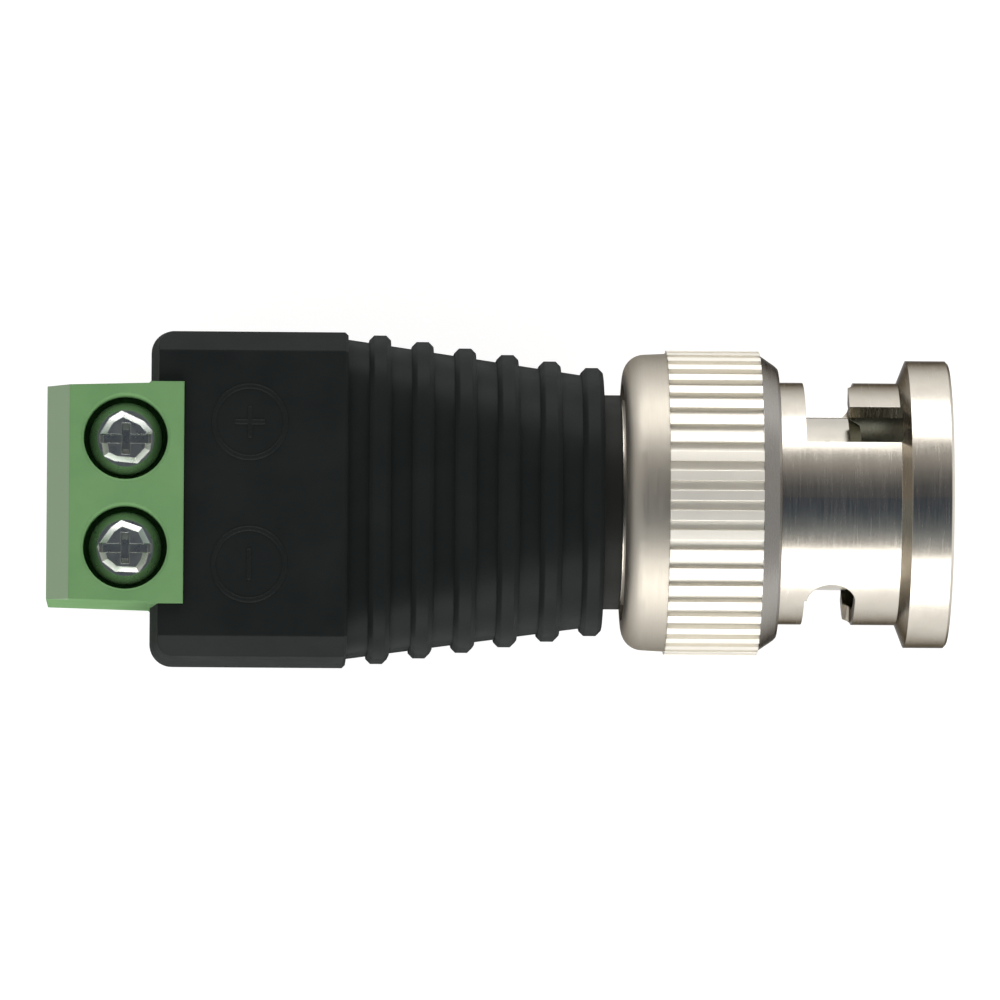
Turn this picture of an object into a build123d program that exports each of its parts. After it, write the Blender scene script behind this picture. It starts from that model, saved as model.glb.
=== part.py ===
from build123d import *
from math import cos, pi, radians, sin, tan
import os

os.makedirs("parts", exist_ok=True)

# Two-pole screw terminal on a bayonet coaxial plug. Millimetres, +Z up.
# +X points out of the plug, the wires enter at -X and the screws are turned from +Z.
# The plug's axis lies along X, one nut radius above the origin.

# Lengths along the plug's axis, from the wire end to the front
block_overhang = 4.8
shell_length = 9.15
rib_zone = 11.95
neck_length = 0.85
nut_gap = 0.12
collar_length = 2.0
knurl_length = 4.35
ring_length = 0.75
face_round = 0.12
barrel_length = 5.6
bevel_length = 0.42
flange_width = 1.95

# Terminal block
pole_pitch = 5.08
block_depth = 6.35
block_side = 2.6
block_nose_taper = 0.21
block_step = 0.08
block_top = 6.4
block_drop = 4.6
block_chamfer = 1.05
block_chamfer_drop = 1.4
screw_setback = 3.65
well_radius = 1.95
well_bevel = 0.12
well_floor = 3.6
chamber_roof = 3.2
shank_play = 0.15
entry_bevel = 0.3

# Clamp screw, rising cage and fixed strip
head_radius = 1.68
head_height = 1.5
head_edge = 0.3
shank_radius = 1.25
recess_width = 0.55
recess_depth = 0.8
cross_span = 2.3
thread_pitch = 0.45
clamp_turns = 4
thread_play = 0.04
cage_play = 0.1
cage_width = 3.6
cage_length = 3.4
cage_side = 0.5
cage_roof = 1.0
cage_floor = 0.7
strip_width = 2.2
strip_thickness = 0.6
strip_inset = 0.35
tail_width = 1.0
tail_length = 2.7

# Black moulding
shell_width = 15.74
shell_height = 12.2
shell_draft = 3.6
shell_corner = 1.05
shell_bevel = 1.25
shell_rim = 0.15
rib_count = 6
rib_width = 1.0
rib_height = 0.42
rib_bevel = 0.22
first_rib = 1.5
last_rib = 0.5
rib_root_width = 14.66
rib_root_height = 11.3
rib_root_corner = 2.4
rib_front_diameter = 11.57
rib_front_corner = 5.6
neck_radius = 5.02

# Coupling nut
nut_radius = 7.13
collar_rear_radius = 6.88
collar_flare = 0.1
collar_round_share = 0.75
ridge_count = 48
ridge_share = 0.52
knurl_depth = 0.27
ring_rear_radius = 6.95
ring_front_radius = 6.44
barrel_radius = 5.67
flange_radius = 6.73
flange_edge = 0.12
bore_radius = 4.9
mouth_bevel = 0.25

# Bayonet slots, with angles about the axis measured from +Z towards -Y
slot_count = 2
channel_angle = -39
channel_width = 2.2
pocket_start = -78
pocket_end = -124
pocket_width = 2.24
pocket_setback = 5.53
throat_width = 2.05
detent_step = 0.225
stud_reach = 5.85

# Plug body and its contacts
running_gap = 0.05
face_gap = 0.02
shank_of_body = 4.8
keeper_radius = 5.5
keeper_width = 0.8
hub_length = 1.2
spigot_radius = 3.75
spigot_length = 6.3
anchor_radius = 4.6
anchor_width = 1.0
tab_length = 2.4
tab_span = 70
body_bore = 3.0
body_bore_depth = 2.2
sleeve_radius = 4.05
sleeve_seat_radius = 4.35
sleeve_wall = 0.55
sleeve_root = 1.0
sleeve_setback = 4.1
slit_count = 4
slit_start = 10
slit_width = 0.35
slit_root = 2.0
sleeve_lip = 0.55
sleeve_lip_drop = 0.3
insulator_shoulder = 2.2
insulator_nose_radius = 2.35
insulator_nose_length = 2.0
pin_radius = 0.675
pin_tip_bevel = 0.25
pin_setback = 0.1
pin_body_radius = 1.1
pin_collar_radius = 1.6
pin_collar_width = 0.8
cup_radius = 1.0
cup_length = 2.4
cup_depth = 1.7
gasket_height = 0.7

# Nut retention
ring_setback = 0.55
ring_thickness = 0.45
ring_bite = 0.5
ring_split = 1.6
washer_thickness = 0.3
spring_height = 0.9
spring_sheet = 0.22
spring_waves = 3
spring_steps = 12

# Leads
wire_radius = 0.42
jacket_radius = 0.8
jacket_bare = 0.5

# Stations along X, with the middle of the whole length at the origin
neck_station = block_overhang + shell_length + rib_zone
nut_station = neck_station + neck_length + nut_gap
nut_length = (collar_length + knurl_length + ring_length + face_round
              + barrel_length + bevel_length + flange_width)
overall_length = nut_station + nut_length
wire_x = -overall_length / 2
shell_x = wire_x + block_overhang
block_back_x = wire_x + block_depth
ribs_x = shell_x + shell_length
neck_x = ribs_x + rib_zone
body_x = neck_x + neck_length
nut_x = body_x + nut_gap
knurl_x = nut_x + collar_length
ring_x = knurl_x + knurl_length
barrel_x = ring_x + ring_length + face_round
bevel_x = barrel_x + barrel_length
flange_x = bevel_x + bevel_length
front_x = flange_x + flange_width
axis_z = nut_radius

keeper_bore = keeper_radius + running_gap
groove_x = nut_x + ring_setback
ring_front_x = groove_x + ring_thickness
washer_x = ring_front_x + face_gap
spring_x = washer_x + washer_thickness + face_gap
keeper_x = spring_x + spring_height
shoulder_x = keeper_x + keeper_width + face_gap
hub_front_x = keeper_x + keeper_width + hub_length
sleeve_front_x = front_x - sleeve_setback
spigot_x = body_x - spigot_length
insulator_rear_x = spigot_x + body_bore_depth
sleeve_root_x = hub_front_x - sleeve_root
insulator_front_x = hub_front_x + insulator_shoulder
cup_x = insulator_rear_x - cup_length

block_width = pole_pitch + 2 * block_side
block_nose_width = block_width - 2 * block_nose_taper
strip_under = strip_thickness + wire_radius
screw_x = wire_x + screw_setback
head_seat_z = axis_z + well_floor + face_gap
head_z = head_seat_z + head_height
strip_top_z = axis_z - strip_under + strip_thickness
cage_travel = thread_pitch * clamp_turns
cage_top_z = axis_z + chamber_roof - cage_play - cage_travel
cage_window_floor_z = axis_z - strip_under - cage_travel - cage_play
cage_bottom_z = cage_window_floor_z - cage_floor
chamber_floor_z = cage_bottom_z - cage_play
tail_x = block_back_x + tail_length
lead_x = tail_x - tail_width
lead_y = {"plus": 0, "minus": wire_radius - body_bore}

axis_origin = (0, 0, axis_z)
bore_axis = Axis(axis_origin, (1, 0, 0))
side_plane = Plane(origin=axis_origin, x_dir=(1, 0, 0), z_dir=(0, -1, 0))


def station(x):
    """The plane across the plug's axis at x: local x is +Y and local y is +Z."""
    return Plane(origin=(x, 0, axis_z), x_dir=(0, 1, 0), z_dir=(1, 0, 0))


def radial(angle):
    """The plane on the plug's axis that faces outwards at the angle: local x is +X."""
    outward = (0, -sin(radians(angle)), cos(radians(angle)))
    return Plane(origin=axis_origin, x_dir=(1, 0, 0), z_dir=outward)


def level(z):
    """The horizontal plane at height z."""
    return Plane.XY.offset(z)


poles = {"plus": pole_pitch / 2, "minus": -pole_pitch / 2}


# Green block, from its plan, with wells, chambers and wire entries
block_bottom_z = axis_z - block_drop
block_height = block_top + block_drop
with BuildPart() as terminal_block:
    with BuildSketch(level(block_bottom_z)):
        with BuildLine():
            Polyline(
                (wire_x, -block_nose_width / 2),
                (shell_x - block_step, -block_width / 2 + block_step),
                (shell_x, -block_width / 2),
                (block_back_x, -block_width / 2),
                (block_back_x, block_width / 2),
                (shell_x, block_width / 2),
                (shell_x - block_step, block_width / 2 - block_step),
                (wire_x, block_nose_width / 2),
                close=True,
            )
        make_face()
    extrude(amount=block_height)
    top_edge = terminal_block.faces().sort_by(Axis.Z)[-1].edges().sort_by(Axis.X)[0]
    wire_face = terminal_block.faces().sort_by(Axis.X)[0]
    chamfer(top_edge, length=block_chamfer_drop, length2=block_chamfer, reference=wire_face)
    # Screw wells down to their floor, then the shank holes
    with BuildSketch(level(axis_z + block_top)):
        with Locations(*[(screw_x, y) for y in poles.values()]):
            Circle(well_radius)
    extrude(amount=well_floor - block_top, mode=Mode.SUBTRACT)
    well_edges = (
        terminal_block.faces().sort_by(Axis.Z)[-1].edges().filter_by(GeomType.CIRCLE)
    )
    chamfer(well_edges, well_bevel)
    with BuildSketch(level(axis_z + chamber_roof)):
        with Locations(*[(screw_x, y) for y in poles.values()]):
            Circle(shank_radius + shank_play)
    extrude(amount=well_floor - chamber_roof, mode=Mode.SUBTRACT)
    # Chambers that the cages rise in
    with BuildSketch(level(chamber_floor_z)):
        with Locations(*[(screw_x, y) for y in poles.values()]):
            Rectangle(cage_length + 2 * cage_play, cage_width + 2 * cage_play)
    extrude(amount=axis_z + chamber_roof - chamber_floor_z, mode=Mode.SUBTRACT)
    # Wire entries from the -X face into the chambers
    entry_height = cage_top_z - chamber_floor_z
    entry_z = chamber_floor_z + entry_height / 2 - axis_z
    entry_depth = screw_setback - cage_length / 2 - cage_play
    with BuildSketch(station(wire_x)):
        with Locations(*[(y, entry_z) for y in poles.values()]):
            Rectangle(cage_width + 2 * cage_play, entry_height)
    extrude(amount=entry_depth, mode=Mode.SUBTRACT)
    entry_edges = (
        terminal_block.faces().sort_by(Axis.X)[0].inner_wires().edges()
    )
    chamfer(entry_edges, entry_bevel)
    # Slots in the back wall for the strips' tails
    with BuildSketch(station(block_back_x)):
        with Locations(*[(y, -strip_under + strip_thickness / 2) for y in poles.values()]):
            Rectangle(tail_width, strip_thickness)
    extrude(amount=-block_depth + screw_setback, mode=Mode.SUBTRACT)
terminal_block.part.label = "terminal_block"
export_step(terminal_block.part, "parts/terminal_block.step")

# Clamp screws: a fillister head with a combined slot and cross over a plain shank
for pole, y in poles.items():
    with BuildPart() as terminal_screw:
        with BuildSketch(level(strip_top_z + face_gap)):
            with Locations((screw_x, y)):
                Circle(shank_radius)
        extrude(amount=head_seat_z - strip_top_z - face_gap)
        with BuildSketch(level(head_seat_z)):
            with Locations((screw_x, y)):
                Circle(head_radius)
        extrude(amount=head_height)
        head_rim = terminal_screw.faces().sort_by(Axis.Z)[-1].edges()
        chamfer(head_rim, head_edge)
        with BuildSketch(level(head_z)):
            with Locations((screw_x, y)):
                Rectangle(2 * head_radius, recess_width)
                Rectangle(recess_width, cross_span)
        extrude(amount=-recess_depth, mode=Mode.SUBTRACT)
    terminal_screw.part.label = f"terminal_screw_{pole}"
    export_step(terminal_screw.part, f"parts/terminal_screw_{pole}.step")

# Rising cages: a folded frame that the wire passes through along X
cage_height = cage_top_z - cage_bottom_z
cage_window_height = cage_height - cage_roof - cage_floor
for pole, y in poles.items():
    with BuildPart() as clamp_cage:
        with BuildSketch(level(cage_bottom_z)):
            with Locations((screw_x, y)):
                Rectangle(cage_length, cage_width)
        extrude(amount=cage_height)
        with BuildSketch(station(screw_x - cage_length / 2)):
            with Locations((y, cage_window_floor_z + cage_window_height / 2 - axis_z)):
                Rectangle(cage_width - 2 * cage_side, cage_window_height)
        extrude(amount=cage_length, mode=Mode.SUBTRACT)
        with BuildSketch(level(cage_top_z)):
            with Locations((screw_x, y)):
                Circle(shank_radius + thread_play)
        extrude(amount=-cage_roof, mode=Mode.SUBTRACT)
        clamp_cage_sides = clamp_cage.edges().filter_by(Axis.X).group_by(Axis.Z)[-1]
        fillet(clamp_cage_sides, cage_side / 2)
    clamp_cage.part.label = f"clamp_cage_{pole}"
    export_step(clamp_cage.part, f"parts/clamp_cage_{pole}.step")

# Fixed strips: a wide bar under the screw's tip, and a solder tail that leaves the back wall
# and turns in to its lead
strip_front_x = screw_x - cage_length / 2 + strip_inset
strip_back_x = screw_x + cage_length / 2 + cage_play
strips = {}
for pole, y in poles.items():
    with BuildPart() as terminal_strip:
        with BuildSketch(level(axis_z - strip_under)):
            with Locations(((strip_front_x + strip_back_x) / 2, y)):
                Rectangle(strip_back_x - strip_front_x, strip_width)
            with Locations(((strip_back_x + tail_x) / 2, y)):
                Rectangle(tail_x - strip_back_x, tail_width)
            with Locations(((lead_x + tail_x) / 2, (y + lead_y[pole]) / 2)):
                Rectangle(tail_width, abs(y - lead_y[pole]) + tail_width)
        extrude(amount=strip_thickness)
    terminal_strip.part.label = f"terminal_strip_{pole}"
    strips[pole] = terminal_strip.part
    export_step(terminal_strip.part, f"parts/terminal_strip_{pole}.step")

# Plug body: spigot with an anchor ridge, shank, keeper flange and hub, turned about the axis
with BuildPart() as plug_body:
    with BuildSketch(side_plane):
        with BuildLine():
            Polyline(
                (spigot_x, body_bore),
                (spigot_x, spigot_radius),
                (body_x, spigot_radius),
                (body_x, shank_of_body),
                (keeper_x, shank_of_body),
                (keeper_x, keeper_radius),
                (keeper_x + keeper_width, keeper_radius),
                (keeper_x + keeper_width, shank_of_body),
                (hub_front_x, shank_of_body),
                (hub_front_x, sleeve_seat_radius),
                (sleeve_root_x, sleeve_seat_radius),
                (sleeve_root_x, body_bore),
                close=True,
            )
        make_face()
    revolve(axis=bore_axis)
    with BuildSketch(station(spigot_x + spigot_length / 2)):
        Circle(anchor_radius)
        Circle(body_bore, mode=Mode.SUBTRACT)
    extrude(amount=anchor_width / 2, both=True)
    # Solder tab: a strip of the spigot's wall that runs on at the -Y side
    with BuildSketch(side_plane.rotated((90 - tab_span / 2, 0, 0))):
        with Locations((spigot_x - tab_length / 2, (body_bore + spigot_radius) / 2)):
            Rectangle(tab_length, spigot_radius - body_bore)
    revolve(axis=bore_axis, revolution_arc=tab_span)
plug_body.part.label = "plug_body"
export_step(plug_body.part, "parts/plug_body.step")

# Outer contact: a thin sleeve with spring slits and a lipped front edge
with BuildPart() as outer_contact:
    with BuildSketch(side_plane):
        with BuildLine():
            Polyline(
                (sleeve_root_x, sleeve_radius - sleeve_wall),
                (sleeve_root_x, sleeve_seat_radius),
                (hub_front_x + gasket_height, sleeve_seat_radius),
                (hub_front_x + gasket_height, sleeve_radius),
                (sleeve_front_x - sleeve_lip, sleeve_radius),
                (sleeve_front_x, sleeve_radius - sleeve_lip_drop),
                (sleeve_front_x, sleeve_radius - sleeve_wall),
                close=True,
            )
        make_face()
    revolve(axis=bore_axis)
    slit_x = hub_front_x + gasket_height + slit_root
    for number in range(slit_count):
        with BuildSketch(radial(slit_start + number * 360 / slit_count)):
            with Locations(((slit_x + front_x) / 2, 0)):
                SlotOverall(front_x - slit_x, slit_width)
        extrude(amount=barrel_radius, mode=Mode.SUBTRACT)
outer_contact.part.label = "outer_contact"
export_step(outer_contact.part, "parts/outer_contact.step")

# Centre contact: pin, body with a collar, and a solder cup
pin_front_x = sleeve_front_x - pin_setback
pin_root_x = insulator_front_x + insulator_nose_length
collar_mid_x = (insulator_rear_x + sleeve_root_x) / 2
with BuildPart() as centre_contact:
    with BuildSketch(side_plane):
        with BuildLine():
            Polyline(
                (cup_x, 0),
                (cup_x, cup_radius),
                (insulator_rear_x, cup_radius),
                (insulator_rear_x, pin_body_radius),
                (collar_mid_x - pin_collar_width / 2, pin_body_radius),
                (collar_mid_x - pin_collar_width / 2, pin_collar_radius),
                (collar_mid_x + pin_collar_width / 2, pin_collar_radius),
                (collar_mid_x + pin_collar_width / 2, pin_body_radius),
                (pin_root_x, pin_body_radius),
                (pin_root_x, pin_radius),
                (pin_front_x, pin_radius),
                (pin_front_x, 0),
                close=True,
            )
        make_face()
    revolve(axis=bore_axis)
    tip_edge = centre_contact.faces().sort_by(Axis.X)[-1].edges()
    chamfer(tip_edge, pin_tip_bevel)
    with BuildSketch(station(cup_x)):
        Circle(wire_radius)
    extrude(amount=cup_depth, mode=Mode.SUBTRACT)
centre_contact.part.label = "centre_contact"
export_step(centre_contact.part, "parts/centre_contact.step")

# Insulator: a bush in the body's bore, stepped out inside the sleeve, with a nose round the pin
with BuildPart() as insulator:
    with BuildSketch(side_plane):
        with BuildLine():
            Polyline(
                (insulator_rear_x, 0),
                (insulator_rear_x, body_bore),
                (sleeve_root_x, body_bore),
                (sleeve_root_x, sleeve_radius - sleeve_wall),
                (insulator_front_x, sleeve_radius - sleeve_wall),
                (insulator_front_x, insulator_nose_radius),
                (insulator_front_x + insulator_nose_length, insulator_nose_radius),
                (insulator_front_x + insulator_nose_length, 0),
                close=True,
            )
        make_face()
    revolve(axis=bore_axis)
    add(centre_contact.part, mode=Mode.SUBTRACT)
insulator.part.label = "insulator"
export_step(insulator.part, "parts/insulator.step")

# Gasket: a square-section seal ring on the hub, round the sleeve
with BuildPart() as gasket:
    with BuildSketch(station(hub_front_x)):
        Circle(shank_of_body - running_gap)
        Circle(sleeve_seat_radius, mode=Mode.SUBTRACT)
    extrude(amount=gasket_height)
gasket.part.label = "gasket"
export_step(gasket.part, "parts/gasket.step")

# Wave washer: a flat ring pressed into waves, lofted in two halves through radial sections
spring_mid_x = spring_x + spring_height / 2
spring_swing = (spring_height - spring_sheet) / 2
spring_inner = shank_of_body + running_gap
spring_outer = keeper_radius - running_gap
with BuildPart() as wave_washer:
    for half in range(2):
        for step in range(spring_steps + 1):
            turn = 180 * (half + step / spring_steps)
            crest_x = spring_mid_x + spring_swing * cos(radians(spring_waves * turn))
            cut = side_plane.rotated((turn, 0, 0))
            with BuildSketch(cut):
                with Locations((crest_x, (spring_inner + spring_outer) / 2)):
                    Rectangle(spring_sheet, spring_outer - spring_inner)
        loft(ruled=True)
wave_washer.part.label = "wave_washer"
export_step(wave_washer.part, "parts/wave_washer.step")

# Thrust washer: the flat washer between the spring and the retaining ring
with BuildPart() as thrust_washer:
    with BuildSketch(station(washer_x)):
        Circle(keeper_radius)
        Circle(shank_of_body + running_gap, mode=Mode.SUBTRACT)
    extrude(amount=washer_thickness)
thrust_washer.part.label = "thrust_washer"
export_step(thrust_washer.part, "parts/thrust_washer.step")

# Retaining ring: a split ring sprung into the groove at the back of the nut
ring_radius = keeper_bore + ring_bite
with BuildPart() as retaining_ring:
    with BuildSketch(station(groove_x)):
        Circle(ring_radius)
        Circle(shank_of_body + 2 * running_gap, mode=Mode.SUBTRACT)
        with Locations((0, -ring_radius)):
            Rectangle(ring_split, ring_radius, mode=Mode.SUBTRACT)
    extrude(amount=ring_thickness)
retaining_ring.part.label = "retaining_ring"
export_step(retaining_ring.part, "parts/retaining_ring.step")

# Coupling nut: the turned form, then the knurl, the bore's groove and the bayonet slots
with BuildPart() as coupling_nut:
    with BuildSketch(side_plane):
        with BuildLine():
            Polyline(
                (nut_x, keeper_bore),
                (nut_x, collar_rear_radius),
                (knurl_x, collar_rear_radius + collar_flare),
                (knurl_x, nut_radius),
                (ring_x, nut_radius),
                (ring_x, ring_rear_radius),
                (ring_x + ring_length, ring_front_radius),
                (barrel_x, ring_front_radius - face_round),
                (barrel_x, barrel_radius),
                (bevel_x, barrel_radius),
                (flange_x, flange_radius),
                (front_x - flange_edge, flange_radius),
                (front_x, flange_radius - flange_edge),
                (front_x, bore_radius + mouth_bevel),
                (front_x - mouth_bevel, bore_radius),
                (shoulder_x, bore_radius),
                (shoulder_x, keeper_bore),
                (ring_front_x, keeper_bore),
                (ring_front_x, ring_radius),
                (groove_x, ring_radius),
                (groove_x, keeper_bore),
                close=True,
            )
        make_face()
    revolve(axis=bore_axis)
    rear_rim = coupling_nut.faces().sort_by(Axis.X)[0].edges().sort_by(SortBy.RADIUS)[-1]
    fillet(rear_rim, collar_round_share * (collar_rear_radius - keeper_bore))
    # Straight knurl: pockets between the ridges, closed by the collar and the front ring
    ridge_pitch = 2 * pi * nut_radius / ridge_count
    with BuildSketch(station(knurl_x)):
        with PolarLocations(nut_radius, ridge_count, start_angle=180 / ridge_count):
            Rectangle(2 * knurl_depth, ridge_pitch * (1 - ridge_share))
    extrude(amount=knurl_length, mode=Mode.SUBTRACT)
    # Bayonet slots: an entry channel from the front, a throat that the stud just passes,
    # and a long locking pocket a step nearer to the front, where the spring holds the stud
    pocket_x = front_x - pocket_setback
    throat_x = pocket_x - detent_step
    throat_back_x = throat_x - throat_width / 2
    for number in range(slot_count):
        turn = number * 360 / slot_count
        with BuildSketch(radial(channel_angle + turn)):
            with Locations(((throat_back_x + front_x) / 2, 0)):
                Rectangle(front_x - throat_back_x, channel_width)
        extrude(amount=stud_reach, mode=Mode.SUBTRACT)
        for end in (pocket_start, pocket_end):
            with BuildSketch(radial(end + turn)):
                with Locations((pocket_x, 0)):
                    Circle(pocket_width / 2)
            extrude(amount=stud_reach, mode=Mode.SUBTRACT)
        slot_mid = (bore_radius + stud_reach) / 2
        throat = (channel_angle, throat_x, throat_width)
        pocket = (pocket_start, pocket_x, pocket_width)
        for start, centre_x, width in (throat, pocket):
            with BuildSketch(side_plane.rotated((start + turn, 0, 0))):
                with Locations((centre_x, slot_mid)):
                    Rectangle(width, stud_reach - bore_radius + 2 * running_gap)
            revolve(axis=bore_axis, revolution_arc=pocket_end - start, mode=Mode.SUBTRACT)
coupling_nut.part.label = "coupling_nut"
export_step(coupling_nut.part, "parts/coupling_nut.step")

# Leads: bare ends soldered to the strips' tails, and to the pin's cup or the body's tab
lead_names = {"plus": "centre", "minus": "ground"}
lead_ends = {"plus": cup_x + cup_depth, "minus": spigot_x}
jacket_ends = {"plus": cup_x - jacket_bare, "minus": spigot_x - tab_length - jacket_bare}
jacket_x = tail_x + jacket_bare
leads = []
for pole, name in lead_names.items():
    with BuildPart() as lead:
        with BuildSketch(station(lead_x)):
            with Locations((lead_y[pole], 0)):
                Circle(wire_radius)
        extrude(amount=lead_ends[pole] - lead_x)
    lead.part.label = f"{name}_lead"
    export_step(lead.part, f"parts/{name}_lead.step")

    with BuildPart() as jacket:
        with BuildSketch(station(jacket_x)):
            with Locations((lead_y[pole], 0)):
                Circle(jacket_radius)
                Circle(wire_radius, mode=Mode.SUBTRACT)
        extrude(amount=jacket_ends[pole] - jacket_x)
    jacket.part.label = f"{name}_jacket"
    export_step(jacket.part, f"parts/{name}_jacket.step")
    leads += [lead.part, jacket.part]

# Ribs: rounded plates that follow the taper of the moulding
rib_pitch = (rib_zone - first_rib - last_rib) / (rib_count - 1)
ribs = []
for number in range(rib_count):
    rib_mid = first_rib + rib_pitch * number
    share = rib_mid / rib_zone
    width = rib_root_width + (rib_front_diameter - rib_root_width) * share
    height = rib_root_height + (rib_front_diameter - rib_root_height) * share
    corner = rib_root_corner + (rib_front_corner - rib_root_corner) * share
    with BuildPart() as rib:
        with BuildSketch(station(ribs_x + rib_mid - rib_width / 2)):
            RectangleRounded(
                width + 2 * rib_height, height + 2 * rib_height, corner + rib_height
            )
        extrude(amount=rib_width)
        rib_rims = rib.edges().group_by(Axis.X)
        chamfer(rib_rims[0] + rib_rims[-1], rib_bevel)
    ribs.append(rib.part)

# Housing: the wide section, drafted up and down from its middle, the ribbed taper and the neck
shell_spare = shell_height * tan(radians(shell_draft))
with BuildPart() as housing:
    with BuildSketch(level(axis_z)) as shell_plan:
        with Locations(((shell_x + ribs_x + shell_spare) / 2, 0)):
            Rectangle(shell_length + shell_spare, shell_width)
        fillet(shell_plan.vertices().group_by(Axis.X)[0], shell_corner)
    extrude(amount=shell_height / 2, both=True, taper=shell_draft)
    with BuildSketch(station(shell_x)) as shell_section:
        Rectangle(shell_width, shell_height)
        chamfer(shell_section.vertices(), shell_bevel)
    extrude(amount=shell_length, mode=Mode.INTERSECT)
    chamfer(housing.faces().sort_by(Axis.X)[-1].edges(), shell_rim)
    with BuildSketch(station(ribs_x)):
        RectangleRounded(rib_root_width, rib_root_height, rib_root_corner)
    with BuildSketch(station(neck_x)):
        RectangleRounded(rib_front_diameter, rib_front_diameter, rib_front_corner)
    loft()
    add(ribs)
    with BuildSketch(station(neck_x)):
        Circle(neck_radius)
    extrude(amount=neck_length)
    # Notch for the terminal block, open at the back and at the top
    with BuildSketch(level(block_bottom_z)):
        with Locations(((shell_x + block_back_x) / 2, 0)):
            Rectangle(block_depth - block_overhang, block_width)
    extrude(amount=shell_height, mode=Mode.SUBTRACT)
    # The moulding closes round everything that it holds
    add(
        [
            *strips.values(),
            *leads,
            plug_body.part,
            insulator.part,
            centre_contact.part,
        ],
        mode=Mode.SUBTRACT,
    )
housing.part.label = "housing"
export_step(housing.part, "parts/housing.step")
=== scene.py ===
from math import cos, pi, radians, sin, tan

import bmesh
import bpy
from mathutils import Matrix, Vector


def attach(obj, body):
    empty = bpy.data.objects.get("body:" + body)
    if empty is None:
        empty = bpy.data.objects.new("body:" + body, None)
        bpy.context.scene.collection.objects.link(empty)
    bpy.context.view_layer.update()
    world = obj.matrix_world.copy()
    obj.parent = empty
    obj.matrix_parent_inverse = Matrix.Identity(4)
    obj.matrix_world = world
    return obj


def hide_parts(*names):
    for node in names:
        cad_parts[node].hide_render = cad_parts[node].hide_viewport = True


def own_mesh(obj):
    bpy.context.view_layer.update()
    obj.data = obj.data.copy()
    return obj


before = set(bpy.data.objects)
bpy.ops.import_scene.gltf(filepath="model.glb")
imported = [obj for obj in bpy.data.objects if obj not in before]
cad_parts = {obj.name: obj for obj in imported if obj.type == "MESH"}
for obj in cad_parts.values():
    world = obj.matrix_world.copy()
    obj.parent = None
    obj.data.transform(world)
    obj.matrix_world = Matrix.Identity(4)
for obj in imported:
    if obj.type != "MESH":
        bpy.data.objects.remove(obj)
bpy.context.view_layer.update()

MM = 0.001

# Places on the object, in millimetres
AXIS_Z = 7.13
POLE_Y = 2.54
SCREW_X = -17.38
SHELL_TOP_Z = 13.23
# Stretches of the nut whose colour is painted darker or lighter as shade and light, and the
# hollow in its barrel, painted dark as shade
COLLAR_X = (5.8, 7.84)
KNURL_X = (7.84, 12.19)
RING_X = (12.19, 13.07)
SHADED_BORE_X = (13.07, 21.1)
SHADED_BORE_RADIUS = 4.95
# The bevel above the block's wire face and the housing's round neck, both painted lighter: a
# painted reflection on the bevel, a painted highlight on the neck
STRIP_X = (-21.1, -19.98)
STRIP_Z = (12.13, 13.6)
NECK_X = (4.88, 5.72)
NECK_Z = (2.0, 12.2)

# Edges sharper than these angles, in degrees, stay crisp in smooth shading
CRISP_EDGE = 35
CRISP_FACET = 18


# ---- Meshes ----

def add_object(name, data):
    """A new object in the scene."""
    made = bpy.data.objects.new(name, data)
    bpy.context.scene.collection.objects.link(made)
    return made


def new_piece(name, bm, body, finish, crisp=CRISP_EDGE):
    """A mesh piece from bm that rides on the body and shows in the finish."""
    mesh = bpy.data.meshes.new(name)
    bm.normal_update()
    bm.to_mesh(mesh)
    bm.free()
    for polygon in mesh.polygons:
        polygon.use_smooth = True
    mesh.set_sharp_from_angle(angle=radians(crisp))
    mesh.materials.append(finish)
    piece = add_object(name, mesh)
    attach(piece, body)
    return piece


def skin(bm, rings, closed_profile, closed_path):
    """Faces between rings of points in millimetres, all with the same count."""
    rows = [[bm.verts.new(Vector(p) * MM) for p in ring] for ring in rings]
    count = len(rows[0])
    for i in range(len(rows) if closed_path else len(rows) - 1):
        a, b = rows[i], rows[(i + 1) % len(rows)]
        for j in range(count if closed_profile else count - 1):
            k = (j + 1) % count
            bm.faces.new((a[j], a[k], b[k], b[j]))
    return rows


# ---- Material nodes ----

NOISE_MIDDLE = (0.3, 0.7)
EDGE_SAMPLES = 6


def material(name, color, metallic=0.0, roughness=0.5, **sockets):
    """A node material with object coordinates in millimetres and a shader to build on."""
    mat = bpy.data.materials.new(name)
    mat.use_nodes = True
    tree = mat.node_tree
    shader = tree.nodes["Principled BSDF"]
    shader.inputs["Base Color"].default_value = (*color, 1)
    shader.inputs["Metallic"].default_value = metallic
    shader.inputs["Roughness"].default_value = roughness
    for socket, value in sockets.items():
        shader.inputs[socket.replace("_", " ")].default_value = value
    place = tree.nodes.new("ShaderNodeTexCoord")
    scale = tree.nodes.new("ShaderNodeMapping")
    scale.inputs["Scale"].default_value = (1 / MM, 1 / MM, 1 / MM)
    tree.links.new(place.outputs["Object"], scale.inputs["Vector"])
    return mat, tree, shader, scale.outputs["Vector"]


def noise(tree, vector, scale, detail, rough=0.55, stretch=None):
    """Noise over a vector, finer along an axis where stretch is larger."""
    if stretch:
        squeeze = tree.nodes.new("ShaderNodeMapping")
        squeeze.inputs["Scale"].default_value = stretch
        tree.links.new(vector, squeeze.inputs["Vector"])
        vector = squeeze.outputs["Vector"]
    texture = tree.nodes.new("ShaderNodeTexNoise")
    texture.inputs["Scale"].default_value = scale
    texture.inputs["Detail"].default_value = detail
    texture.inputs["Roughness"].default_value = rough
    tree.links.new(vector, texture.inputs["Vector"])
    return texture.outputs["Fac"]


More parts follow.
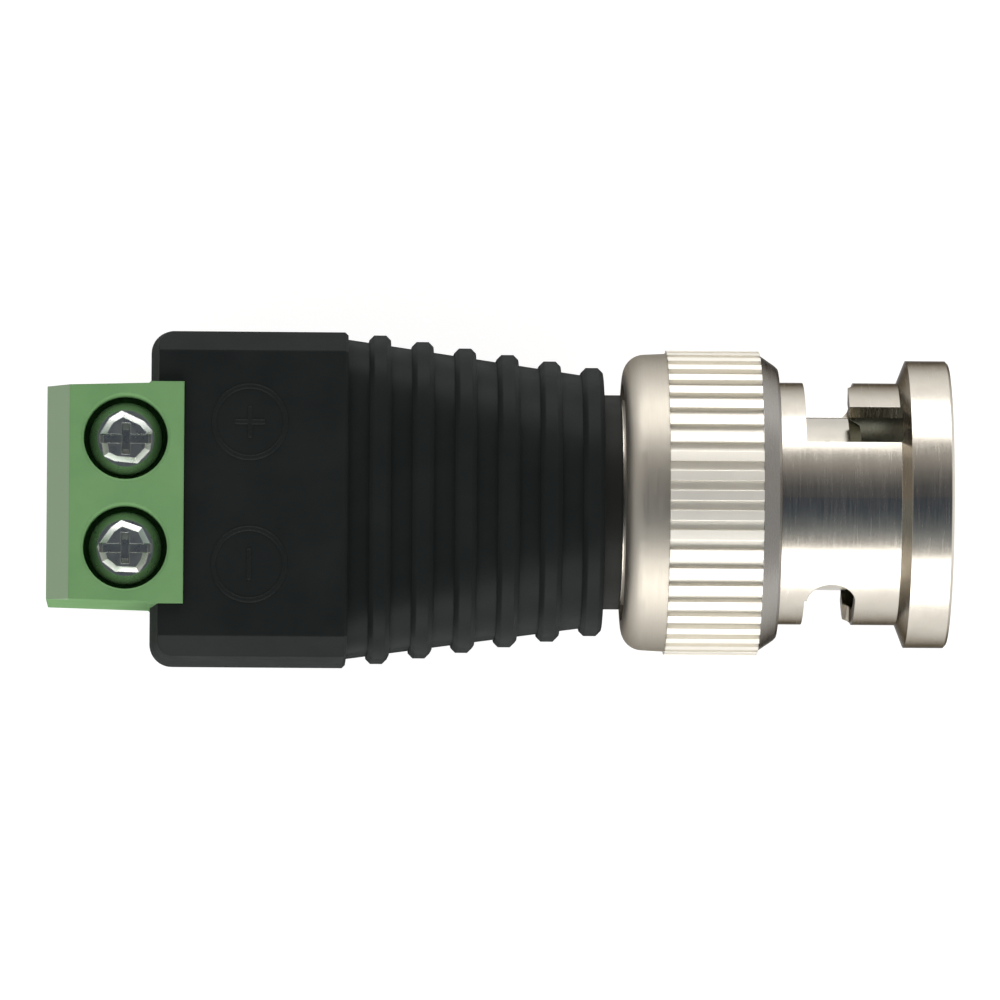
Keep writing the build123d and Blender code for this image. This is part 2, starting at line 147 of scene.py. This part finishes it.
def ramp(tree, fac, stops):
    """A colour ramp of (position, colour) stops."""
    node = tree.nodes.new("ShaderNodeValToRGB")
    elements = node.color_ramp.elements
    while len(elements) < len(stops):
        elements.new(0.5)
    for element, (position, color) in zip(elements, stops):
        element.position = position
        element.color = (*color, 1)
    tree.links.new(fac, node.inputs["Fac"])
    return node.outputs["Color"]


def remap(tree, value, source, target=(0.0, 1.0)):
    """Maps the source span of a value to the target span."""
    node = tree.nodes.new("ShaderNodeMapRange")
    ends = zip(("From Min", "From Max", "To Min", "To Max"), (*source, *target))
    for socket, number in ends:
        node.inputs[socket].default_value = number
    tree.links.new(value, node.inputs["Value"])
    return node.outputs["Result"]


def compute(tree, operation, first, second):
    """A maths node; either value may be a socket or a number."""
    node = tree.nodes.new("ShaderNodeMath")
    node.operation = operation
    for socket, value in zip(node.inputs, (first, second)):
        if isinstance(value, (int, float)):
            socket.default_value = value
        else:
            tree.links.new(value, socket)
    return node.outputs["Value"]


def blend(tree, fac, first, second, mode="MIX"):
    """Mixes a colour socket with another one or with a plain colour."""
    node = tree.nodes.new("ShaderNodeMix")
    node.data_type = "RGBA"
    node.blend_type = mode
    tree.links.new(fac, node.inputs["Factor"])
    tree.links.new(first, node.inputs["A"])
    if isinstance(second, tuple):
        node.inputs["B"].default_value = (*second, 1)
    else:
        tree.links.new(second, node.inputs["B"])
    return node.outputs["Result"]


def split(tree, vector):
    """The X, Y and Z outputs of a vector."""
    node = tree.nodes.new("ShaderNodeSeparateXYZ")
    tree.links.new(vector, node.inputs["Vector"])
    return node.outputs


def between(tree, at, span, axis="X"):
    """1 inside a span along the axis, and 0 elsewhere."""
    place = split(tree, at)[axis]
    after = compute(tree, "GREATER_THAN", place, span[0])
    before = compute(tree, "LESS_THAN", place, span[1])
    return compute(tree, "MULTIPLY", after, before)


def within(tree, at, radius):
    """1 nearer to the plug's axis than the radius, and 0 farther out."""
    across = tree.nodes.new("ShaderNodeVectorMath")
    across.operation = "MULTIPLY_ADD"
    across.inputs[1].default_value = (0, 1, 1)
    across.inputs[2].default_value = (0, 0, -AXIS_Z)
    tree.links.new(at, across.inputs[0])
    distance = tree.nodes.new("ShaderNodeVectorMath")
    distance.operation = "LENGTH"
    tree.links.new(across.outputs["Vector"], distance.inputs[0])
    return compute(tree, "LESS_THAN", distance.outputs["Value"], radius)


def relief(tree, shader, edge_radius, *layers):
    """Rounds the edges in the shading, then adds layers of (height, distance in mm)."""
    edge = tree.nodes.new("ShaderNodeBevel")
    edge.samples = EDGE_SAMPLES
    edge.inputs["Radius"].default_value = edge_radius * MM
    normal = edge.outputs["Normal"]
    for height, distance in layers:
        bump = tree.nodes.new("ShaderNodeBump")
        bump.inputs["Distance"].default_value = distance * MM
        tree.links.new(height, bump.inputs["Height"])
        tree.links.new(normal, bump.inputs["Normal"])
        normal = bump.outputs["Normal"]
    tree.links.new(normal, shader.inputs["Normal"])


# ---- Moulded plastic and plated metal ----

# Lengths are in millimetres. SHEEN is how far the roughness drifts down and up, and
# RIM_POWER how narrow the band is that counts as seen at a glancing angle.
MOULDED_EDGE = 0.12
MOULDED_SHEEN = (-0.05, 0.06)
GRAIN_DEPTH = 0.006
FLOW_DEPTH = 0.012
RIM_POWER = 3
PLATED_EDGE = 0.05
PLATED_SHEEN = (-0.05, 0.07)
BLOTCH_DEPTH = 0.002


def moulded(name, dark, light, roughness, gloss=0.5, painted_light_patch=None, dull_rim=0.3):
    """Moulded plastic: a slow drift of colour, fine grain and a faint flow of the melt.
    paler is a place painted lighter as painted light: (span along X, span along Z, colour).
    dull_rim is how much rougher the surface is where it is seen at a glancing angle."""
    mat, tree, shader, at = material(name, light, roughness=roughness,
                                     Specular_IOR_Level=gloss)
    drift = noise(tree, at, scale=0.35, detail=3.0)
    color = ramp(tree, drift, [(0.35, dark), (0.65, light)])
    # Painted light: a place is painted in a lighter colour where light is caught.
    if painted_light_patch:
        span_x, span_z, tint = painted_light_patch
        painted_zone = compute(tree, "MULTIPLY", between(tree, at, span_x),
                       between(tree, at, span_z, "Z"))
        color = blend(tree, painted_zone, color, tint)
    tree.links.new(color, shader.inputs["Base Color"])
    patch = noise(tree, at, scale=0.9, detail=5.0)
    sheen = remap(tree, patch, NOISE_MIDDLE, [roughness + step for step in MOULDED_SHEEN])
    facing = tree.nodes.new("ShaderNodeLayerWeight").outputs["Facing"]
    rim = compute(tree, "MULTIPLY", compute(tree, "POWER", facing, RIM_POWER), dull_rim)
    tree.links.new(compute(tree, "ADD", sheen, rim), shader.inputs["Roughness"])
    relief(tree, shader, MOULDED_EDGE,
           (noise(tree, at, scale=9.0, detail=3.0), GRAIN_DEPTH),
           (noise(tree, at, scale=0.5, detail=2.0), FLOW_DEPTH))
    return mat


def plated(name, dark, light, roughness, lines=(14.0, 0.6, 0.6), line_depth=0.0012,
           painted_light_zones=(), bore_shade=None, glancing_shade_tint=(0.7, 0.7, 0.7)):
    """Turned and plated metal: fine lines round the plug's axis, with soft blotches.
    zones gives stretches along X a colour painted darker or lighter as shade and light, and more
    roughness: (span, colour, how much rougher).
    bore is the colour painted on the nut's hollow barrel as shade, and glancing_shade_tint the
    colour of a glancing look, which paints shade there where it is dark."""
    mat, tree, shader, at = material(name, light, metallic=1.0, roughness=roughness)
    # This tint darkens reflections at glancing angles; the nickel's near black tint is painted
    # shade.
    shader.inputs["Specular Tint"].default_value = (*glancing_shade_tint, 1)
    drift = noise(tree, at, scale=0.6, detail=5.0)
    color = ramp(tree, drift, [(0.3, dark), (0.7, light)])
    turned = noise(tree, at, scale=1.0, detail=6.0, rough=0.7, stretch=lines)
    sheen = remap(tree, turned, NOISE_MIDDLE, [roughness + step for step in PLATED_SHEEN])
    # Painted shade and light: each stretch's colour is painted darker or lighter; only its extra
    # roughness is the metal's own.
    for span, tint, extra in painted_light_zones:
        painted_zone = between(tree, at, span)
        color = blend(tree, painted_zone, color, tint)
        sheen = compute(tree, "ADD", sheen, compute(tree, "MULTIPLY", painted_zone, extra))
    # Painted shade: the hollow of the nut's barrel is painted dark.
    if bore_shade:
        bore_shade_mask = compute(tree, "MULTIPLY", between(tree, at, SHADED_BORE_X),
                         within(tree, at, SHADED_BORE_RADIUS))
        color = blend(tree, bore_shade_mask, color, bore_shade)
    tree.links.new(color, shader.inputs["Base Color"])
    tree.links.new(sheen, shader.inputs["Roughness"])
    relief(tree, shader, PLATED_EDGE,
           (turned, line_depth),
           (noise(tree, at, scale=2.2, detail=4.0), BLOTCH_DEPTH))
    return mat


# On the nut the collar and ring are painted darker and the knurl lighter, as painted shade and
# light; its hollow barrel is painted dark and its glancing reflections near black, both painted
# shade.
nickel = plated("nickel_plate", dark=(0.58, 0.54, 0.475), light=(0.66, 0.62, 0.55),
                roughness=0.22,
                painted_light_zones=[(COLLAR_X, (0.44, 0.41, 0.36), 0.25),
                       (KNURL_X, (0.95, 0.92, 0.85), 0.34),
                       (RING_X, (0.34, 0.325, 0.305), 0.06)],
                bore_shade=(0.19, 0.19, 0.15), glancing_shade_tint=(0.05, 0.04, 0.03))
bright_nickel = plated("bright_nickel", dark=(0.60, 0.57, 0.50), light=(0.68, 0.64, 0.57),
                       roughness=0.16)
gold = plated("gold_plate", dark=(0.83, 0.58, 0.20), light=(0.95, 0.70, 0.30),
              roughness=0.14)
zinc = plated("zinc_plate", dark=(0.66, 0.68, 0.67), light=(0.76, 0.78, 0.76),
              roughness=0.29, lines=(2.0, 2.0, 2.0), line_depth=0.002)
spring_steel = plated("spring_steel", dark=(0.42, 0.41, 0.40), light=(0.55, 0.54, 0.52),
                      roughness=0.25)
tinned = plated("tinned_wire", dark=(0.62, 0.60, 0.55), light=(0.75, 0.73, 0.69),
                roughness=0.28, lines=(1.0, 9.0, 9.0), line_depth=0.003)
# The bevel above the block's wire face is painted lighter, a painted reflection.
green = moulded("green_moulding", dark=(0.15, 0.302, 0.127), light=(0.175, 0.332, 0.147),
                roughness=0.5, gloss=0.06, dull_rim=0.42,
                painted_light_patch=(STRIP_X, STRIP_Z, (0.265, 0.365, 0.24)))
# The housing's neck is painted lighter, a painted highlight.
black = moulded("black_moulding", dark=(0.0124, 0.0148, 0.0148),
                light=(0.015, 0.0178, 0.0174), roughness=0.40, gloss=0.07, dull_rim=0.6,
                painted_light_patch=(NECK_X, NECK_Z, (0.036, 0.038, 0.034)))
white = moulded("waxy_white", dark=(0.76, 0.75, 0.71), light=(0.84, 0.83, 0.79),
                roughness=0.38)
seal = moulded("silicone_seal", dark=(0.36, 0.045, 0.03), light=(0.45, 0.065, 0.04),
               roughness=0.5)
red_jacket = moulded("red_insulation", dark=(0.42, 0.02, 0.015), light=(0.50, 0.03, 0.02),
                     roughness=0.4)
black_jacket = moulded("black_insulation", dark=(0.012, 0.012, 0.012),
                       light=(0.02, 0.02, 0.02), roughness=0.4)

finishes = {
    black: ["housing"],
    green: ["terminal_block"],
    zinc: ["terminal_screw_plus", "terminal_screw_minus", "clamp_cage_plus", "clamp_cage_minus"],
    bright_nickel: ["terminal_strip_plus", "terminal_strip_minus", "outer_contact"],
    nickel: ["coupling_nut", "plug_body"],
    gold: ["centre_contact"],
    white: ["insulator"],
    seal: ["gasket"],
    spring_steel: ["wave_washer", "thrust_washer", "retaining_ring"],
    tinned: ["centre_lead", "ground_lead"],
    red_jacket: ["centre_jacket"],
    black_jacket: ["ground_jacket"],
}
for finish, nodes in finishes.items():
    for node in nodes:
        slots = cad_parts[node].data.materials
        slots.clear()
        slots.append(finish)


# ---- Polarity marks: raised rings with a plus and a minus, moulded on the housing's top ----

MARK_X = -11.64
MARK_Y = 3.3
MARK_RADIUS = 1.66
MARK_HALF_WIDTH = 0.13
MARK_HEIGHT = 0.05
MARK_SINK = 0.05
MARK_SIGN = 1.5
RIDGE_STEPS = 6
RING_STEPS = 72
END_STEPS = 8
WELD = 1e-7


def ridge_profile():
    """A low rounded ridge: (across, up) from one foot to the other."""
    return [(-MARK_HALF_WIDTH * cos(pi * i / RIDGE_STEPS),
             MARK_HEIGHT * sin(pi * i / RIDGE_STEPS)) for i in range(RIDGE_STEPS + 1)]


def polarity_ring(name, y):
    profile = ridge_profile()
    foot = [(profile[-1][0], -MARK_SINK), (profile[0][0], -MARK_SINK)]
    rings = []
    for i in range(RING_STEPS):
        turn = 2 * pi * i / RING_STEPS
        rings.append([(MARK_X + (MARK_RADIUS + across) * cos(turn),
                       y + (MARK_RADIUS + across) * sin(turn), SHELL_TOP_Z + up)
                      for across, up in profile + foot])
    bm = bmesh.new()
    skin(bm, rings, closed_profile=True, closed_path=True)
    bmesh.ops.recalc_face_normals(bm, faces=bm.faces)
    new_piece(name, bm, "adapter", black)


def polarity_bar(name, y, along_x):
    """One stroke of a sign, with rounded ends."""
    half = MARK_SIGN / 2 - MARK_HALF_WIDTH
    rise = ridge_profile()[:RIDGE_STEPS // 2 + 1]
    rows = []
    for end, start in ((half, -90), (-half, 90)):
        for i in range(END_STEPS + 1):
            turn = radians(start + 180 * i / END_STEPS)
            row = []
            for across, up in [(rise[0][0], -MARK_SINK)] + rise:
                reach = -across
                along, aside = end + reach * cos(turn), reach * sin(turn)
                dx, dy = (along, aside) if along_x else (-aside, along)
                row.append((MARK_X + dx, y + dy, SHELL_TOP_Z + up))
            rows.append(row)
    bm = bmesh.new()
    made = skin(bm, rows, closed_profile=False, closed_path=True)
    bm.faces.new([row[-1] for row in made])
    bm.faces.new([row[0] for row in reversed(made)])
    bmesh.ops.remove_doubles(bm, verts=bm.verts, dist=WELD)
    bmesh.ops.recalc_face_normals(bm, faces=bm.faces)
    new_piece(name, bm, "adapter", black)


polarity_ring("polarity_ring_plus", MARK_Y)
polarity_ring("polarity_ring_minus", -MARK_Y)
polarity_bar("polarity_plus_long", MARK_Y, along_x=True)
polarity_bar("polarity_plus_cross", MARK_Y, along_x=False)
polarity_bar("polarity_minus", -MARK_Y, along_x=False)


# ---- Clamp screws: threaded, with a domed and dished head and a slot with a cross ----

SIDES = 64
SCREW_TIP_Z = 6.73
SCREW_SEAT_Z = 10.75
HEAD_TOP_Z = 12.25
ABOVE_HEAD_Z = 12.5
HEAD_RADIUS = 1.68
# (share of the head's radius, share of its height) up the domed edge
HEAD_CURVE = [(1.0, 0.74), (0.96, 0.82), (0.90, 0.90), (0.84, 0.96), (0.78, 1.0)]

THREAD_PITCH = 0.45
THREAD_CREST = 1.25
THREAD_ROOT = 1.0
THREAD_STEP = 0.045
FLANK_RISE = 2.6
ROOT_FLAT = 0.15
POINT_SHARE = 0.86
POINT_SLOPE = 0.4

DISH_SIDES = 9
DISH_RIM = 1.24
DISH_FLOOR = 0.96
DISH_DEPTH = 0.17
# The facets' unevenness: its step from corner to corner, and its shares in angle and reach
DISH_DRIFT = 2.4
DISH_START = 0.3
DISH_TURN = 0.2
DISH_REACH = 0.06

SLOT_WIDTH = 0.42
SLOT_DEPTH = 0.75
SLOT_FOOT = (0.85, 0.9)
CROSS_SPAN = 1.7
CROSS_DEPTH = 1.0
CROSS_FOOT = (0.8, 0.55)

EDGE_WIDTH = 0.03
EDGE_SEGMENTS = 2
EDGE_ANGLE = 50


def thread_radius(z, turn):
    """A thread's radius at height z and angle turn: straight flanks, flat crest and root."""
    phase = ((z - SCREW_TIP_Z) / THREAD_PITCH + turn / (2 * pi)) % 1
    rise = min(1, max(0, FLANK_RISE * (0.5 - abs(phase - 0.5)) - ROOT_FLAT))
    return THREAD_ROOT + (THREAD_CREST - THREAD_ROOT) * rise


def blank(rings):
    """A loose closed shape through rings of points: a screw, or what is cut from its head."""
    bm = bmesh.new()
    made = skin(bm, rings, closed_profile=True, closed_path=False)
    bm.faces.new(reversed(made[0]))
    bm.faces.new(made[-1])
    bmesh.ops.recalc_face_normals(bm, faces=bm.faces)
    mesh = bpy.data.meshes.new("blank")
    bm.to_mesh(mesh)
    bm.free()
    return add_object("blank", mesh)


def blade(y, half_x, half_y, foot, depth):
    """The recess of a blade, which narrows downwards to the shares in foot."""
    corners = ((-half_x, -half_y), (half_x, -half_y), (half_x, half_y), (-half_x, half_y))
    low = [(SCREW_X + a * foot[0], y + b * foot[1], HEAD_TOP_Z - depth) for a, b in corners]
    high = [(SCREW_X + a, y + b, ABOVE_HEAD_Z) for a, b in corners]
    return blank([low, high])


def dish(y):
    """A shallow dish with uneven facets, as a punch leaves it."""
    corners = []
    for i in range(DISH_SIDES):
        uneven = sin(i * DISH_DRIFT + y)
        corners.append((2 * pi * (i + DISH_START + DISH_TURN * uneven) / DISH_SIDES,
                        1 + DISH_REACH * uneven))
    slope = (DISH_RIM - DISH_FLOOR) / DISH_DEPTH
    levels = ((DISH_FLOOR, HEAD_TOP_Z - DISH_DEPTH), (DISH_RIM, HEAD_TOP_Z),
              (DISH_RIM + (ABOVE_HEAD_Z - HEAD_TOP_Z) * slope, ABOVE_HEAD_Z))
    return blank([[(SCREW_X + r * share * cos(turn), y + r * share * sin(turn), z)
                   for turn, share in corners] for r, z in levels])


def circle(y, z, radii):
    """A ring of points round a screw's axis, one for each radius."""
    return [(SCREW_X + r * cos(2 * pi * i / SIDES), y + r * sin(2 * pi * i / SIDES), z)
            for i, r in enumerate(radii)]


def screw_rings(y):
    """Rings of points up the whole screw: point, thread, seat and head."""
    rings = []
    levels = round((SCREW_SEAT_Z - SCREW_TIP_Z) / THREAD_STEP)
    for i in range(levels + 1):
        z = SCREW_TIP_Z + (SCREW_SEAT_Z - SCREW_TIP_Z) * i / levels
        taper = min(1, POINT_SHARE + (z - SCREW_TIP_Z) * POINT_SLOPE)
        rings.append(circle(y, z, [thread_radius(z, 2 * pi * k / SIDES) * taper
                                   for k in range(SIDES)]))
    for share, height in [(1.0, 0.0)] + HEAD_CURVE:
        z = SCREW_SEAT_Z + (HEAD_TOP_Z - SCREW_SEAT_Z) * height
        rings.append(circle(y, z, [HEAD_RADIUS * share] * SIDES))
    return rings


def clamp_screw(pole, y):
    screw = blank(screw_rings(y))
    tools = [dish(y),
             blade(y, DISH_RIM, SLOT_WIDTH / 2, SLOT_FOOT, SLOT_DEPTH),
             blade(y, SLOT_WIDTH / 2, CROSS_SPAN / 2, CROSS_FOOT, CROSS_DEPTH)]
    for tool in tools:
        cut = screw.modifiers.new("recess", "BOOLEAN")
        cut.object = tool
        cut.solver = "EXACT"
    edge = screw.modifiers.new("edge", "BEVEL")
    edge.width = EDGE_WIDTH * MM
    edge.segments = EDGE_SEGMENTS
    edge.limit_method = "ANGLE"
    edge.angle_limit = radians(EDGE_ANGLE)
    bpy.context.view_layer.update()
    made = screw.evaluated_get(bpy.context.evaluated_depsgraph_get())
    bm = bmesh.new()
    bm.from_mesh(bpy.data.meshes.new_from_object(made))
    for leftover in [screw] + tools:
        bpy.data.objects.remove(leftover)
    piece = new_piece(f"clamp_screw_{pole}", bm, f"screw_{pole}", zinc,
                      crisp=CRISP_FACET)
    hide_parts(f"terminal_screw_{pole}")


clamp_screw("plus", POLE_Y)
clamp_screw("minus", -POLE_Y)


# ---- Wave washer: a spring, shown as a copy of the washer's own mesh on the adapter ----


def wave_spring():
    piece = add_object("wave_spring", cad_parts["wave_washer"].data.copy())
    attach(piece, "adapter")
    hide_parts("wave_washer")
    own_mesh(piece)


wave_spring()


# ---- Floor: pale, with a glow that only the camera and reflections see ----

FLOOR_HALF = 3.0
FLOOR_COLOR = (0.42, 0.42, 0.42)
FLOOR_ROUGHNESS = 0.9
FLOOR_GLOSS = 0.1
FLOOR_LIFT = 0.79


def floor():
    bm = bmesh.new()
    bmesh.ops.create_grid(bm, x_segments=1, y_segments=1, size=FLOOR_HALF)
    mesh = bpy.data.meshes.new("floor")
    bm.to_mesh(mesh)
    bm.free()
    mat, tree, shader, _ = material("pale_floor", FLOOR_COLOR, roughness=FLOOR_ROUGHNESS,
                                    Specular_IOR_Level=FLOOR_GLOSS,
                                    Emission_Color=(1, 1, 1, 1))
    path = tree.nodes.new("ShaderNodeLightPath").outputs
    seen = compute(tree, "ADD", path["Is Camera Ray"], path["Is Glossy Ray"])
    seen = compute(tree, "ADD", seen, path["Is Transmission Ray"])
    tree.links.new(compute(tree, "MULTIPLY", seen, FLOOR_LIFT),
                   shader.inputs["Emission Strength"])
    mesh.materials.append(mat)
    plane = add_object("floor", mesh)


floor()


# ---- Lamps and sky: two soft boxes at the sides, and a sky that darkens overhead ----

LAMP_LEVEL = 3.0
LAMP_AIM = Vector((0, 0, AXIS_Z * MM))
SKY = [
    (0.0, (0.64, 0.63, 0.62)),
    (0.60, (0.58, 0.57, 0.56)),
    (0.82, (0.36, 0.355, 0.35)),
    (0.93, (0.15, 0.155, 0.16)),
    (1.0, (0.035, 0.045, 0.065)),
]
SKY_HUES = [
    (0.15, (1, 1, 1)),
    (0.30, (0.80, 0.92, 1.0)),
    (0.46, (0.80, 0.90, 1.0)),
    (0.54, (1.0, 0.93, 0.88)),
    (0.75, (1.0, 0.96, 0.93)),
    (0.90, (1, 1, 1)),
]
HUES_Y = (-1.0, 1.0)
HUES_FADE_Z = (0.25, 0.6)


def lamp(name, place, size, color):
    """A soft box that faces the object and looks LAMP_LEVEL bright from there."""
    light = bpy.data.lights.new(name, "AREA")
    light.shape = "RECTANGLE"
    light.size, light.size_y = size
    light.energy = LAMP_LEVEL * pi * size[0] * size[1]
    light.color = color
    box = add_object(name, light)
    box.location = place
    aim = LAMP_AIM - box.location
    box.rotation_euler = aim.to_track_quat("-Z", "Y").to_euler()


def sky():
    """A world that is dark overhead, and there bluish towards -Y and warm towards +Y."""
    world = bpy.data.worlds.new("studio")
    bpy.context.scene.world = world
    world.use_nodes = True
    tree = world.node_tree
    place = tree.nodes.new("ShaderNodeTexCoord")
    toward = split(tree, place.outputs["Generated"])
    level = ramp(tree, toward["Z"], SKY)
    hue = ramp(tree, remap(tree, toward["Y"], HUES_Y), SKY_HUES)
    high = remap(tree, toward["Z"], HUES_FADE_Z)
    color = blend(tree, high, level, hue, mode="MULTIPLY")
    tree.links.new(color, tree.nodes["Background"].inputs["Color"])


lamp("side_lamp_far", place=(0, 0.50, 0.19), size=(0.9, 0.33), color=(1.0, 0.985, 0.96))
lamp("side_lamp_near", place=(0, -0.50, 0.215), size=(0.9, 0.41), color=(1.0, 0.98, 0.95))
sky()


# ---- Camera: above the object, leaning towards the wire end and the -Y side ----

CAMERA_TARGET = Vector((0.135, 0.07, AXIS_Z)) * MM
CAMERA_DISTANCE = 0.545
CAMERA_LEAN_X = radians(1.59)
CAMERA_LEAN_Y = radians(2.9)
CAMERA_ROLL = radians(-0.35)
CAMERA_NEAR = 0.01
CAMERA_FAR = 10
FRAME_WIDTH = 46.84 * MM
SENSOR = 36.0


def camera():
    lens = bpy.data.cameras.new("camera")
    lens.sensor_width = SENSOR
    lens.lens = SENSOR * CAMERA_DISTANCE / FRAME_WIDTH
    lens.clip_start = CAMERA_NEAR
    lens.clip_end = CAMERA_FAR
    lean = Vector((-tan(CAMERA_LEAN_X), -tan(CAMERA_LEAN_Y), 1)).normalized()
    across = Vector((0, 1, 0)).cross(lean).normalized()
    upward = lean.cross(across)
    turned = Matrix.Rotation(-CAMERA_ROLL, 3, lean)
    basis = Matrix((turned @ across, turned @ upward, lean)).transposed()
    eye = add_object("camera", lens)
    eye.matrix_world = (Matrix.Translation(CAMERA_TARGET + CAMERA_DISTANCE * lean)
                        @ basis.to_4x4())
    bpy.context.scene.camera = eye


camera()
bpy.context.scene.view_settings.view_transform = "Standard"
